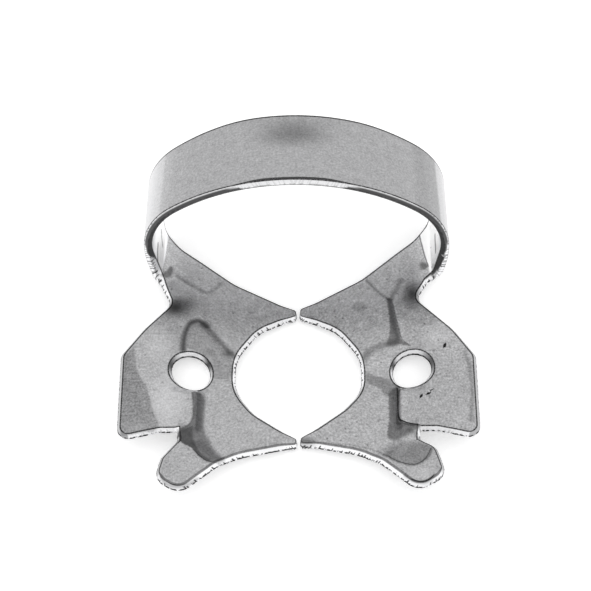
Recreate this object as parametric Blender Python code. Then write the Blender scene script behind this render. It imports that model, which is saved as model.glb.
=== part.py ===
# Rubber dam clamp, stamped from one spring-steel sheet and bent to shape.
# Half of the sheet is laid out flat, given its rubbed edges, bent into jaw, leg and bow,
# and mirrored at the middle of the bow.
# X runs across the jaws, Y from the front lobes towards the bow, and Z is up.

import math

import bmesh
import bpy
from mathutils import Matrix, Vector

mm = 0.001

# Sheet
sheet = 0.85 * mm
edge_lean = 0.26 * mm  # how far the rubbed edge stands out past the flat face
edge_depth = 0.38 * mm  # how deep the slope of the rubbed edge reaches

# Opening for the tooth, between the two jaws
opening_half_width = 5.1 * mm
opening_front = 5.75 * mm  # from the middle of the opening to the front prong tips
opening_back = 5.35 * mm  # from the middle of the opening to the back prong tips
side_front = 1.2 * mm  # the widest stretch of the opening, forwards and backwards of its middle
side_back = 1.55 * mm
front_slant_x = 1.5 * mm  # corners between that stretch and the tips
front_slant_y = 2.55 * mm
back_slant_x = 1.9 * mm
back_slant_y = 1.35 * mm
opening_fillet = 3.6 * mm
prong_gap = 0.2 * mm  # between the tips of the two jaws
prong_fillet = 0.32 * mm
front_prong_width = 0.75 * mm
back_prong_width = 0.85 * mm

# Jaw plate
jaw_front = 7.5 * mm  # where the front edge turns outwards to the lobe
jaw_front_x = 5.6 * mm
jaw_back = 8.85 * mm  # where the back edge steepens
jaw_back_x = 5.2 * mm
jaw_edge_fillet = 6.0 * mm

# Forceps hole
hole_radius = 1.53 * mm
hole_x = 8.95 * mm
hole_y = 0.35 * mm

# Wing
wing_reach = 14.42 * mm
wing_back = 1.6 * mm
wing_front = 6.45 * mm
wing_corner_fillet = 0.7 * mm
wing_bulge_x = 12.5 * mm
wing_bulge_y = 4.1 * mm

# Slit between wing and lobe
slit_x = 9.65 * mm
slit_y = 5.5 * mm
slit_width = 0.5 * mm
slit_fan = 0.35  # slope of the line that parts the wing from the lobe beyond the slit

# Front lobe
lobe_reach = 11.65 * mm
lobe_front = 11.0 * mm
lobe_shoulder_x = 11.1 * mm
lobe_shoulder_y = 7.2 * mm
lobe_tip_x = 9.3 * mm
lobe_fillet = 1.35 * mm

# Notch between wing and leg
notch_reach = 0.45 * mm  # outwards from where the sheet starts to bend up
notch_y = 6.75 * mm
notch_fillet = 0.8 * mm
neck_reach = 1.6 * mm

# Bow
bow_front = 9.02 * mm
bow_back = 16.5 * mm
bow_leg_back = 15.6 * mm  # the band narrows from its crown down to its legs
bow_crown_half = 4.6 * mm  # half the length of the crown, which keeps its full width
bow_edge_fillet = 40.0 * mm
bow_sweep_reach = 0.3 * mm  # where the back edge of the jaw starts its sweep up into the bow
bow_sweep_y = 12.35 * mm
bow_sweep_slope = 1.05
bow_sweep_fillet = 3.6 * mm
bow_half_width = 11.62 * mm  # to the inner face
bow_height = 11.2 * mm  # to the inner face
bow_lean = 0.079  # how far the bow leans back for each unit of height
bow_taper = 5.8  # share of the width that the bow loses for each metre towards its back edge

# Bends from the jaw plate up into the bow, measured on the inner face
root_radius = 4.0 * mm
root_turn = math.radians(20)
heel_radius = 0.9 * mm
heel_turn = math.radians(55)
leg_radius = 11.4 * mm
shoulder_radius = 5.2 * mm

# Step that presses the jaw and the lobe below the wing
step_x = 8.2 * mm
step_y = 5.45 * mm
step_drop = 0.9 * mm
step_run = 0.8 * mm
step_fillet = 0.6 * mm
jaw_slope = 0.048  # fall of the jaw towards the tooth

# Ramp that takes the place of the step beside the forceps hole
ramp_x = 10.65 * mm
ramp_run = 3.5 * mm
ramp_start = -2.0 * mm  # from here to there the step spreads into the ramp
ramp_end = -1.3 * mm

# Crease where the jaw comes back up towards the bow, from the opening to behind the forceps hole
crease_start = 1.6 * mm
crease_slope = 0.95
crease_share = 0.55  # share of the drop that ends at the crease, the rest fades slowly
fade_start = -1.5 * mm
fade_end = 7.0 * mm

# Fold of the lobe, from the slit to the front edge
fold_back = Vector((9.7, -5.85)) * mm
fold_front = Vector((6.4, -8.5)) * mm
fold_run = 1.4 * mm
fold_rise = 0.3 * mm
lobe_lift = 0.1  # rise of the lobe past its fold

# Rest on the lowest places of the two jaws, in front and at the roots of the legs
rest_tilt = math.radians(4.83)

# How finely the bends and round corners are divided
corner_step = math.radians(12)
bow_step = math.radians(6)
heel_step = math.radians(14)
step_parts = 4
spread_parts = 3
crease_parts = 4
fade_parts = 4
fold_parts = 3
neck_parts = 4
sharp_angle = math.radians(35)
weld = 0.02 * mm
small = 0.001 * mm
most_of_side = 0.49  # a fillet takes at most this share of the side beside it
most_of_sheet = 0.45  # and a rubbed edge this share of the thickness


def smooth_step(value):
    value = min(max(value, 0.0), 1.0)
    return value * value * (3.0 - 2.0 * value)


def rounded(corners):
    """The outline through corners of (x, y, fillet), with each fillet as an arc."""
    points = []
    count = len(corners)
    for index, (x, y, fillet) in enumerate(corners):
        here = Vector((x, y))
        before = Vector(corners[index - 1][:2]) - here
        after = Vector(corners[(index + 1) % count][:2]) - here
        turn = math.pi - before.angle(after)
        reach = min(fillet * math.tan(turn / 2), most_of_side * min(before.length, after.length))
        if reach < small:
            points.append(here)
            continue
        radius = reach / math.tan(turn / 2)
        inward = (before.normalized() + after.normalized()).normalized()
        centre = here + inward * radius / math.cos(turn / 2)
        start = here + before.normalized() * reach - centre
        side = math.copysign(1.0, before.cross(after))
        steps = max(1, math.ceil(turn / corner_step))
        for number in range(steps + 1):
            angle = -side * turn * number / steps
            points.append(centre + Matrix.Rotation(angle, 2) @ start)
    return points


def bow_arcs():
    """The arcs of (radius, turn) from the jaw plate to the middle of the bow, on the inner face."""
    leg_turn = math.pi / 2 - root_turn - heel_turn
    hip_z = root_radius * (1 - math.cos(root_turn))
    hip_z += heel_radius * (math.cos(root_turn) - math.sin(leg_turn))
    hip_z += leg_radius * math.sin(leg_turn)
    across = bow_half_width - shoulder_radius
    above = bow_height - hip_z - shoulder_radius
    crown_turn = 2 * math.atan2(above, across)
    crown_radius = shoulder_radius + across / math.sin(crown_turn)
    return (
        (root_radius, root_turn),
        (heel_radius, heel_turn),
        (leg_radius, leg_turn),
        (shoulder_radius, math.pi / 2 - crown_turn),
        (crown_radius, crown_turn),
    )


def bend_start(arcs):
    """Where the sheet leaves the level of the jaw plate, so that the bow gets its width."""
    heading = 0.0
    reach = 0.0
    for radius, turn in arcs[:3]:
        reach += radius * (math.sin(heading + turn) - math.sin(heading))
        heading += turn
    return bow_half_width - reach


arcs = bow_arcs()
root_x = bend_start(arcs)
bow_middle = root_x + sum(radius * turn for radius, turn in arcs)


def along_bow(p):
    """The place (x, z) of the inner face at p, the length along the flat sheet."""
    x, z, heading = min(p, root_x), 0.0, 0.0
    left = p - root_x
    for radius, turn in arcs:
        part = min(max(left / radius, 0.0), turn)
        x += radius * (math.sin(heading + part) - math.sin(heading))
        z += radius * (math.cos(heading) - math.cos(heading + part))
        heading += turn
        left -= radius * turn
    return x, z


def outline():
    """The outline of half the flat sheet, from past the middle of the bow round the jaw and back."""
    tip = prong_gap / 2
    sweep = (bow_leg_back - bow_sweep_y) / bow_sweep_slope
    bow_end = bow_middle + 4 * edge_lean
    sweep_x = root_x + bow_sweep_reach
    return rounded(
        (
            (bow_end, bow_front, 0),
            (root_x + neck_reach, bow_front, notch_fillet),
            (root_x + notch_reach, notch_y, notch_fillet),
            (wing_bulge_x, wing_bulge_y, jaw_edge_fillet),
            (wing_reach, wing_back, wing_corner_fillet),
            (wing_reach, -wing_front, wing_corner_fillet),
            (slit_x + lobe_fillet, -slit_y, lobe_fillet),
            (slit_x, -slit_y, 0),
            (slit_x, -slit_y - slit_width, 0),
            (lobe_shoulder_x, -lobe_shoulder_y, lobe_fillet),
            (lobe_reach, -lobe_front + lobe_fillet, lobe_fillet),
            (lobe_tip_x, -lobe_front, lobe_fillet),
            (jaw_front_x, -jaw_front, jaw_edge_fillet),
            (tip, -opening_front - front_prong_width, prong_fillet),
            (tip, -opening_front, prong_fillet),
            (opening_half_width - front_slant_x, front_slant_y - opening_front, opening_fillet),
            (opening_half_width, -side_front, opening_fillet),
            (opening_half_width, side_back, opening_fillet),
            (opening_half_width - back_slant_x, opening_back - back_slant_y, opening_fillet),
            (tip, opening_back, prong_fillet),
            (tip, opening_back + back_prong_width, prong_fillet),
            (jaw_back_x, jaw_back, jaw_edge_fillet),
            (sweep_x, bow_sweep_y, jaw_edge_fillet),
            (sweep_x + sweep, bow_leg_back, bow_sweep_fillet),
            (bow_middle - bow_crown_half, bow_back, bow_edge_fillet),
            (bow_end, bow_back, 0),
        )
    )


def crease_at(x):
    return crease_start + crease_slope * max(x - opening_half_width, 0.0)


def pressing(x, y):
    """How far the step, the ramp, the slope of the jaw and the fold of the lobe move the sheet up."""
    beyond_slit = x - slit_x
    on_wing = beyond_slit > small and y > -slit_y - slit_width / 2 - slit_fan * beyond_slit
    aside = 0.0 if on_wing else max(step_fillet - step_y - y, 0.0)
    inwards = max(step_x + step_fillet - x, 0.0)
    step = smooth_step((math.hypot(inwards, aside) - step_fillet) / step_run)
    ramp = smooth_step((ramp_x - x) / ramp_run)
    spread = smooth_step((y - ramp_start) / (ramp_end - ramp_start))
    kept = 1 - crease_share * smooth_step(y / crease_at(x))
    kept -= (1 - crease_share) * smooth_step((y - fade_start) / (fade_end - fade_start))
    height = -step_drop * (step + (ramp - step) * spread) * kept - jaw_slope * max(step_x - x, 0.0)
    fold = (fold_front - fold_back).normalized()
    past_fold = (Vector((x, y)) - fold_back).dot(Vector((-fold.y, fold.x)))
    if not on_wing:
        height += fold_rise * smooth_step(1 + past_fold / fold_run) + lobe_lift * max(past_fold, 0.0)
    return height


def curled(p, y):
    """The inner or upper face of the sheet at the flat place (p, y), before the jaw is pressed."""
    x, z = along_bow(p)
    leg = smooth_step((y - notch_y) / (bow_front - notch_y))
    climb = smooth_step((p - root_x) / (root_radius * root_turn + heel_radius * heel_turn))
    shrink = 1 - bow_taper * leg * climb * (y - bow_front)
    rise = z * shrink * leg
    return Vector((p + (x * shrink - p) * leg, y + bow_lean * rise, rise))


def place(flat):
    """Where the flat place (p, y, -depth) lies on the clamp once the sheet is bent and pressed."""
    p, y = flat.x, flat.y
    across = curled(p + small, y) - curled(p - small, y)
    along = curled(p, y + small) - curled(p, y - small)
    here = curled(p, y) + across.cross(along).normalized() * flat.z
    here.z += pressing(p, y)
    if p > bow_middle - small:
        here.x = 0.0
    return here


def parts_of(geometry, kind):
    return [item for item in geometry if isinstance(item, kind)]


def flat_half():
    """Half of the flat sheet as a closed solid, with its rubbed edges and the forceps hole."""
    flat = bmesh.new()
    depth = min(edge_depth, most_of_sheet * sheet)
    sides = math.ceil(2 * math.pi / corner_step)
    turns = (-2 * math.pi * number / sides for number in range(sides))
    hole = [Vector((hole_x + hole_radius * math.cos(a), hole_y + hole_radius * math.sin(a))) for a in turns]
    edges = []
    for ring in (outline(), hole):
        corners = [flat.verts.new((point.x, point.y, depth - sheet)) for point in ring]
        edges += [flat.edges.new((corners[n - 1], corners[n])) for n in range(len(corners))]
    under = parts_of(bmesh.ops.triangle_fill(flat, edges=edges, use_beauty=True)["geom"], bmesh.types.BMFace)
    upper = bmesh.ops.extrude_face_region(flat, geom=under, use_keep_orig=True)["geom"]
    land = Vector((0, 0, sheet - 2 * depth))
    bmesh.ops.translate(flat, verts=parts_of(upper, bmesh.types.BMVert), vec=land)
    bmesh.ops.recalc_face_normals(flat, faces=flat.faces)
    for faces in (under, parts_of(upper, bmesh.types.BMFace)):
        bmesh.ops.inset_region(
            flat, faces=faces, thickness=edge_lean, depth=depth, use_boundary=True, use_even_offset=True
        )
    level = [edge for edge in flat.edges if abs(edge.verts[0].co.z - edge.verts[1].co.z) < small]
    bmesh.ops.dissolve_limit(flat, angle_limit=0.01, edges=level)
    return flat


def cut(flat, where, direction, zone, beyond=False):
    """Divides the faces whose middles lie in the zone (least x, least y, most x, most y)."""
    faces = []
    for face in flat.faces:
        middle = face.calc_center_median()
        if zone[0] < middle.x < zone[2] and zone[1] < middle.y < zone[3]:
            faces.append(face)
    edges = {edge for face in faces for edge in face.edges}
    corners = {corner for face in faces for corner in face.verts}
    bmesh.ops.bisect_plane(
        flat,
        geom=[*corners, *edges, *faces],
        dist=small,
        plane_co=(*where, 0),
        plane_no=(*direction, 0),
        clear_outer=beyond,
    )


def divide(flat):
    """Divides the flat solid where it is going to bend, and cuts it off at the middle of the bow."""
    far = 2 * bow_middle
    whole = (-far, -far, far, far)
    cut(flat, (bow_middle, 0), (1, 0), whole, beyond=True)
    for y in (-step_y - step_run, -step_y, ramp_start, ramp_end, 0, notch_y):
        cut(flat, (0, y), (0, 1), whole)
    foot_x = step_x - step_run
    ramp_foot_x = ramp_x - ramp_run
    for number in range(step_parts + 1):
        part = number / step_parts
        cut(flat, (step_x - step_run * part, 0), (1, 0), (0, -step_y - step_run, far, ramp_end))
        cut(flat, (ramp_x - ramp_run * part, 0), (1, 0), (0, ramp_start, far, notch_y))
        cut(flat, (0, -step_y - step_run * part), (0, 1), (foot_x, -step_y - step_run, far, -step_y))
    for number in range(1, spread_parts):
        y = ramp_start + (ramp_end - ramp_start) * number / spread_parts
        cut(flat, (0, y), (0, 1), (ramp_foot_x, ramp_start, ramp_x, ramp_end))
    for number in range(1, crease_parts + 1):
        part = number / crease_parts
        where = (opening_half_width, crease_start * part)
        cut(flat, where, (-crease_slope * part, 1), (0, 0, ramp_x, notch_y))
    for number in range(1, fade_parts):
        cut(flat, (0, notch_y * number / fade_parts), (0, 1), (ramp_foot_x, 0, ramp_x, notch_y))
    fold = fold_front - fold_back
    back = Vector((fold.y, -fold.x)).normalized() * fold_run
    for number in range(fold_parts + 1):
        where = fold_back + back * number / fold_parts
        cut(flat, where, (-fold.y, fold.x), (fold_front.x - fold_run, -far, slit_x, -step_y))
        cut(flat, where, (-fold.y, fold.x), (slit_x, -far, far, -slit_y - slit_width))
    p = root_x
    for radius, turn in arcs:
        parts = math.ceil(turn / (heel_step if radius < shoulder_radius else bow_step))
        for number in range(parts):
            cut(flat, (p + radius * turn * number / parts, 0), (1, 0), (root_x - small, notch_y, far, far))
        p += radius * turn
    for number in range(1, neck_parts + 1):
        y = notch_y + (bow_front - notch_y) * number / neck_parts
        cut(flat, (0, y), (0, 1), (root_x, notch_y, far, far))
    bmesh.ops.remove_doubles(flat, verts=flat.verts, dist=weld)
    bmesh.ops.triangulate(flat, faces=flat.faces)


def steel():
    material = bpy.data.materials.new("stainless_steel")
    material.use_nodes = True
    shader = material.node_tree.nodes["Principled BSDF"]
    shader.inputs["Base Color"].default_value = (0.45, 0.45, 0.46, 1)
    shader.inputs["Metallic"].default_value = 1.0
    shader.inputs["Roughness"].default_value = 0.3
    return material


def clamp_body():
    """The whole clamp, resting on its prong tips and on the back corners of its jaws."""
    flat = flat_half()
    divide(flat)
    for corner in flat.verts:
        corner.co = place(corner.co)
    mesh = bpy.data.meshes.new("clamp_body")
    flat.to_mesh(mesh)
    flat.free()
    mesh.materials.append(steel())
    mesh.transform(Matrix.Rotation(-rest_tilt, 4, "X"))
    heights = [vertex.co.z for vertex in mesh.vertices]
    depths = [vertex.co.y for vertex in mesh.vertices]
    mesh.transform(Matrix.Translation((0, -(min(depths) + max(depths)) / 2, -min(heights))))
    mesh.shade_smooth()
    mesh.set_sharp_from_angle(angle=sharp_angle)
    body = bpy.data.objects.new("clamp_body", mesh)
    bpy.context.scene.collection.objects.link(body)
    mirror = body.modifiers.new("other side", "MIRROR")
    mirror.merge_threshold = small
    return body


for old in list(bpy.data.objects):
    bpy.data.objects.remove(old)
clamp_body()
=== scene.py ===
import math

import bmesh
import bpy
import numpy as np
from mathutils import Matrix, Vector
from mathutils.geometry import delaunay_2d_cdt
from mathutils.kdtree import KDTree


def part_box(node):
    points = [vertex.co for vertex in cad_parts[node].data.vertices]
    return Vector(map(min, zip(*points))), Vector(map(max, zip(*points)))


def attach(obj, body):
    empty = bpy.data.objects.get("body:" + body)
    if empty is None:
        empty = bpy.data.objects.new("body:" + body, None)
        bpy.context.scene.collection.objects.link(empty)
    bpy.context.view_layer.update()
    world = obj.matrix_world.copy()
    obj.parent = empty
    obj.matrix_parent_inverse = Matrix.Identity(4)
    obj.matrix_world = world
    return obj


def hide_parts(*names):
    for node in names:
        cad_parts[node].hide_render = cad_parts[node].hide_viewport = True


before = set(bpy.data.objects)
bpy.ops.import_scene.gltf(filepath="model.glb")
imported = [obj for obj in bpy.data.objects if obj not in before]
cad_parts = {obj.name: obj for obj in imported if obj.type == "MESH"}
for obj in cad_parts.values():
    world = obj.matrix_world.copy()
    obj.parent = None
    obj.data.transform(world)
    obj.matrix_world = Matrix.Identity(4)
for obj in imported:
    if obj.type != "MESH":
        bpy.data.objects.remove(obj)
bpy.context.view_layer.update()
print("frame loaded")

# Sizes of the clamp in millimetres, laid out flat: x across the jaws, y from the lobes to the bow
clampSizes = {
    "sheet": 0.85,
    "edgeLean": 0.26,
    "edgeDepth": 0.38,
    "edgeShare": 0.45,  # the most of the sheet that one rubbed edge takes
    "openingHalfWidth": 5.1,
    "openingFront": 5.6,
    "openingBack": 5.6,
    "sideFront": 1.2,
    "sideBack": 1.55,
    "frontSlant": (3.6, 3.2),
    "backSlant": (3.2, 4.12),
    "openingFillet": 3.6,
    "prongGap": 0.2,
    "prongFillet": 0.32,
    "frontProngWidth": 0.6,
    "backProngWidth": 0.6,
    "prongLean": (0.35, 1.6),  # share of the edge's lean left at the prongs, and how far that reaches
    "jawFront": (5.6, 7.5),
    "jawFrontTip": (1.6, 6.55),
    "jawBack": (5.2, 8.85),
    "jawEdgeFillet": 6.0,
    "wingReach": 14.42,
    "wingBack": 1.6,
    "wingFront": 6.28,
    "wingCornerFillet": 1.0,
    "wingBulge": (12.5, 4.1),
    "slit": (9.65, 5.5),
    "slitWidth": 0.5,
    "slitFan": 0.35,
    "lobeReach": 11.65,
    "lobeFront": 10.99,
    "lobeShoulder": (11.1, 7.2),
    "lobeTipX": 9.3,
    "lobeFillet": 1.35,
    "notchReach": 0.45,
    "notchY": 6.75,
    "notchFillet": 0.8,
    "neckReach": 1.6,
    "bowFront": 9.02,
    "bowBack": 16.48,
    "bowLegBack": 15.6,
    "bowCrownHalf": 4.6,
    "bowEdgeFillet": 40.0,
    "sweepReach": 0.3,
    "sweepY": 12.35,
    "sweepSlope": 1.05,
    "sweepFillet": 3.6,
    "holeRadius": 1.53,
    "holeX": 8.95,
    "holeY": 0.35,
    "holeDrift": 0.25,  # the punch sat a little to the right of both wings
}

# Where the halves differ: the shears and the bender's pliers never meet both sides alike
sideSizes = {
    -1: {
        "notchReach": 1.2,
        "neckReach": 2.2,
        "wingBulge": (12.6, 4.4),
        "wingBack": 1.85,
        "lobeShoulder": (10.9, 7.7),
        "lobeReach": 11.35,
    },
    1: {
        "openingFront": 5.5,
        "frontSlant": (3.6, 2.9),
        "backProngWidth": 0.75,
        "jawFront": (5.6, 7.25),
        "jawFrontTip": (1.6, 6.35),
        "jawBack": (5.2, 9.25),
        "sweepY": 13.1,
        "sweepSlope": 1.15,
        "notchY": 7.2,
        "wingBulge": (12.7, 4.15),
        "lobeShoulder": (10.9, 6.75),
        "lobeFront": 10.85,
        "bowLegBack": 15.9,
        "bowCrownHalf": 6.0,
    },
}

# How the sheet is bent up into the bow, measured on its inner face
bendSizes = {
    "halfWidth": 11.62,
    "height": 11.135,
    "lean": 0.079,
    "taper": 0.0058,
    "legTaper": 0.25,
    "legTaperRise": (3.0, 10.0),  # heights between which the leg takes on the bow's whole taper
    "thinning": 0.18,
    "thinningRun": (3.0, 6.0),  # lengths past the root between which the sheet is drawn thinner
    "rootRadius": 4.0,
    "rootTurn": math.radians(20),
    "heelRadius": 0.9,
    "heelTurn": math.radians(55),
    "legRadius": 11.4,
    "shoulderRadius": 5.2,
    "drift": 0.022,  # the bow stands a little to the left
    "restTilt": math.radians(4.83),
}

# How the jaws and lobes are pressed below the wings
pressSizes = {
    "stepX": 8.2,
    "stepY": 5.45,
    "drop": 0.9,
    "run": 0.8,
    "fillet": 0.6,
    "jawSlope": 0.048,
    "rampX": 10.65,
    "rampRun": 3.5,
    "spread": (-2.0, -1.3),
    "creaseStart": 1.6,
    "creaseSlope": 0.95,
    "creaseShare": 0.55,
    "fade": (-1.5, 7.0),
    "foldBack": (9.7, -5.85),
    "foldFront": (6.4, -8.5),
    "foldRun": 1.4,
    "foldRise": 0.3,
    "lobeLift": 0.1,
}

# How finely the surface is made
meshSizes = {
    "upperSpacing": 0.12,
    "underSpacing": 0.21,
    "edgeSpacing": 0.12,
    "cornerStep": math.radians(5),
    "filletShare": 0.49,  # the most of a side that one fillet takes
    "sharpest": 0.3,  # keeps the inset short where a corner is sharp
    "clearShare": 0.6,  # share of the spacing that is left free beside the borders
    "netTolerance": 1e-7,
    "weldDistance": 1e-6,
}

# Section of the rubbed edge: share of the lean and share of the edge's depth, from flat face to nose
edgeSection = (
    (-0.16, 0.0),
    (0.0, 0.0),
    (0.1, 0.03),
    (0.22, 0.13),
    (0.5, 0.45),
    (0.78, 0.76),
    (0.94, 0.93),
    (1.0, 1.0),
)

tiny = 1e-4
millimetre = 0.001
halfSheet = clampSizes["sheet"] / 2


def smoothStep(value):
    value = np.clip(value, 0.0, 1.0)
    return value * value * (3.0 - 2.0 * value)


def rise(value, ends):
    # soft step from nought at the first end to one at the second
    return smoothStep((value - ends[0]) / (ends[1] - ends[0]))


def past(value, place, width):
    # soft border as wide as given: nought before the place and one beyond it
    return smoothStep((value - place) / width + 0.5)


def bowArcs():
    bend = bendSizes
    legTurn = math.pi / 2 - bend["rootTurn"] - bend["heelTurn"]
    hip = bend["rootRadius"] * (1 - math.cos(bend["rootTurn"]))
    hip += bend["heelRadius"] * (math.cos(bend["rootTurn"]) - math.sin(legTurn))
    hip += bend["legRadius"] * math.sin(legTurn)
    across = bend["halfWidth"] - bend["shoulderRadius"]
    above = bend["height"] - hip - bend["shoulderRadius"]
    crownTurn = 2 * math.atan2(above, across)
    crownRadius = bend["shoulderRadius"] + across / math.sin(crownTurn)
    return (
        (bend["rootRadius"], bend["rootTurn"]),
        (bend["heelRadius"], bend["heelTurn"]),
        (bend["legRadius"], legTurn),
        (bend["shoulderRadius"], math.pi / 2 - crownTurn),
        (crownRadius, crownTurn),
    )


arcs = bowArcs()
heading, rootX = 0.0, bendSizes["halfWidth"]
for arcRadius, arcTurn in arcs[:3]:
    rootX -= arcRadius * (math.sin(heading + arcTurn) - math.sin(heading))
    heading += arcTurn
bowMiddle = rootX + sum(arcRadius * arcTurn for arcRadius, arcTurn in arcs)


def alongBow(p):
    x, z, left, turned = np.minimum(p, rootX), np.zeros_like(p), p - rootX, 0.0
    for radius, turn in arcs:
        part = np.clip(left / radius, 0.0, turn)
        x = x + radius * (np.sin(turned + part) - math.sin(turned))
        z = z + radius * (math.cos(turned) - np.cos(turned + part))
        turned += turn
        left = left - radius * turn
    return x, z


def flatOutline(side):
    # corner points (x, y, fillet) from the bow's front edge round the jaw to its back edge
    sizes = {**clampSizes, **sideSizes[side]}
    tip = sizes["prongGap"] / 2
    sweepX = rootX + sizes["sweepReach"]
    w, front, back = sizes["openingHalfWidth"], sizes["openingFront"], sizes["openingBack"]
    edge = sizes["jawEdgeFillet"]
    legReach = (sizes["bowLegBack"] - sizes["sweepY"]) / sizes["sweepSlope"]
    return (
        (bowMiddle, sizes["bowFront"], 0),
        (rootX + sizes["neckReach"], sizes["bowFront"], sizes["notchFillet"]),
        (rootX + sizes["notchReach"], sizes["notchY"], sizes["notchFillet"]),
        (*sizes["wingBulge"], edge),
        (sizes["wingReach"], sizes["wingBack"], sizes["wingCornerFillet"]),
        (sizes["wingReach"], -sizes["wingFront"], sizes["wingCornerFillet"]),
        (sizes["slit"][0] + sizes["lobeFillet"], -sizes["slit"][1], sizes["lobeFillet"]),
        (sizes["slit"][0], -sizes["slit"][1], 0),
        (sizes["slit"][0], -sizes["slit"][1] - sizes["slitWidth"], 0),
        (sizes["lobeShoulder"][0], -sizes["lobeShoulder"][1], sizes["lobeFillet"]),
        (sizes["lobeReach"], sizes["lobeFillet"] - sizes["lobeFront"], sizes["lobeFillet"]),
        (sizes["lobeTipX"], -sizes["lobeFront"], sizes["lobeFillet"]),
        (sizes["jawFront"][0], -sizes["jawFront"][1], edge),
        (sizes["jawFrontTip"][0], -sizes["jawFrontTip"][1], sizes["prongFillet"]),
        (tip, -front - sizes["frontProngWidth"], sizes["prongFillet"]),
        (tip, -front, sizes["prongFillet"]),
        (sizes["frontSlant"][0], -sizes["frontSlant"][1], sizes["openingFillet"]),
        (w, -sizes["sideFront"], sizes["openingFillet"]),
        (w, sizes["sideBack"], sizes["openingFillet"]),
        (*sizes["backSlant"], sizes["openingFillet"]),
        (tip, back, sizes["prongFillet"]),
        (tip, back + sizes["backProngWidth"], sizes["prongFillet"]),
        (*sizes["jawBack"], edge),
        (sweepX, sizes["sweepY"], edge),
        (sweepX + legReach, sizes["bowLegBack"], sizes["sweepFillet"]),
        (bowMiddle - sizes["bowCrownHalf"], sizes["bowBack"], sizes["bowEdgeFillet"]),
        (bowMiddle, sizes["bowBack"], 0),
    )


def roundedLine(corners):
    # rounds each corner with an arc, then divides long straight stretches
    points = []
    for index, (x, y, fillet) in enumerate(corners):
        here = Vector((x, y))
        if fillet == 0:
            points.append(here)
            continue
        before = Vector(corners[index - 1][:2]) - here
        after = Vector(corners[index + 1][:2]) - here
        turn = math.pi - before.angle(after)
        most = meshSizes["filletShare"]
        reach = min(fillet * math.tan(turn / 2), most * before.length, most * after.length)
        radius = reach / math.tan(turn / 2)
        inward = (before.normalized() + after.normalized()).normalized()
        centre = here + inward * radius / math.cos(turn / 2)
        start = here + before.normalized() * reach - centre
        side = math.copysign(1.0, before.cross(after))
        counts = (turn / meshSizes["cornerStep"], radius * turn / meshSizes["edgeSpacing"])
        steps = max(2, math.ceil(max(counts)))
        points += [centre + Matrix.Rotation(-side * turn * n / steps, 2) @ start for n in range(steps + 1)]
    fine = []
    for start, end in zip(points, points[1:]):
        parts = max(1, round((end - start).length / meshSizes["edgeSpacing"]))
        fine += [start.lerp(end, n / parts) for n in range(parts)]
    return np.array([tuple(point) for point in fine + [points[-1]]])


def holeRing(side):
    radius, middleY = clampSizes["holeRadius"], clampSizes["holeY"]
    sides = round(2 * math.pi * radius / meshSizes["edgeSpacing"])
    turns = -2 * np.pi * np.arange(sides) / sides
    middleX = clampSizes["holeX"] + side * clampSizes["holeDrift"]
    return np.stack([middleX + radius * np.cos(turns), middleY + radius * np.sin(turns)], 1)


def inwardNormals(line, closed):
    # even-offset directions at each point of a line that has the steel on its left
    if closed:
        before = line - np.roll(line, 1, 0)
        after = np.roll(line, -1, 0) - line
    else:
        step = np.diff(line, axis=0)
        before = np.vstack([step[:1], step])
        after = np.vstack([step, step[-1:]])
    sides = []
    for step in (before, after):
        step = step / np.linalg.norm(step, axis=1)[:, None]
        sides.append(np.stack([-step[:, 1], step[:, 0]], 1))
    middle = sides[0] + sides[1]
    middle /= np.linalg.norm(middle, axis=1)[:, None]
    return middle / np.maximum((middle * sides[1]).sum(1), meshSizes["sharpest"])[:, None]


def pressing(x, y):
    # height of the pressed sheet above the plane of the wings
    press, sizes = pressSizes, clampSizes
    slitX, slitY = sizes["slit"]
    beyond = x - slitX
    onWing = (beyond > tiny) & (y > -slitY - sizes["slitWidth"] / 2 - sizes["slitFan"] * beyond)
    aside = np.where(onWing, 0.0, np.maximum(press["fillet"] - press["stepY"] - y, 0.0))
    inwards = np.maximum(press["stepX"] + press["fillet"] - x, 0.0)
    step = np.clip((np.hypot(inwards, aside) - press["fillet"]) / press["run"], 0.0, 1.0)
    step = step * (2 - step)  # sharp along the wing, soft at its foot
    ramp = smoothStep((press["rampX"] - x) / press["rampRun"])
    crease = press["creaseStart"] + press["creaseSlope"] * np.maximum(x - sizes["openingHalfWidth"], 0.0)
    kept = 1 - press["creaseShare"] * smoothStep(y / crease)
    kept = kept - (1 - press["creaseShare"]) * rise(y, press["fade"])
    height = -press["drop"] * (step + (ramp - step) * rise(y, press["spread"])) * kept
    height = height - press["jawSlope"] * np.maximum(press["stepX"] - x, 0.0)
    fold = Vector(press["foldFront"]) - Vector(press["foldBack"])
    fold.normalize()
    pastFold = (x - press["foldBack"][0]) * -fold.y + (y - press["foldBack"][1]) * fold.x
    lobe = press["foldRise"] * smoothStep(1 + pastFold / press["foldRun"])
    lobe = lobe + press["lobeLift"] * np.maximum(pastFold, 0.0)
    return height + np.where(onWing, 0.0, lobe)


def curled(p, y):
    # upper face of the sheet, bent up into the bow: p runs along the sheet from the middle outwards
    bend, sizes = bendSizes, clampSizes
    x, z = alongBow(p)
    leg = smoothStep((y - sizes["notchY"]) / (sizes["bowFront"] - sizes["notchY"]))
    bent = bend["rootRadius"] * bend["rootTurn"] + bend["heelRadius"] * bend["heelTurn"]
    taper = bend["taper"] * leg * smoothStep((p - rootX) / bent) * (y - sizes["bowFront"])
    height = z * (1 - taper) * leg
    taper = taper * (bend["legTaper"] + (1 - bend["legTaper"]) * rise(z, bend["legTaperRise"]))
    return np.stack([p + (x * (1 - taper) - p) * leg, y + bend["lean"] * height, height], 1)


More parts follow.
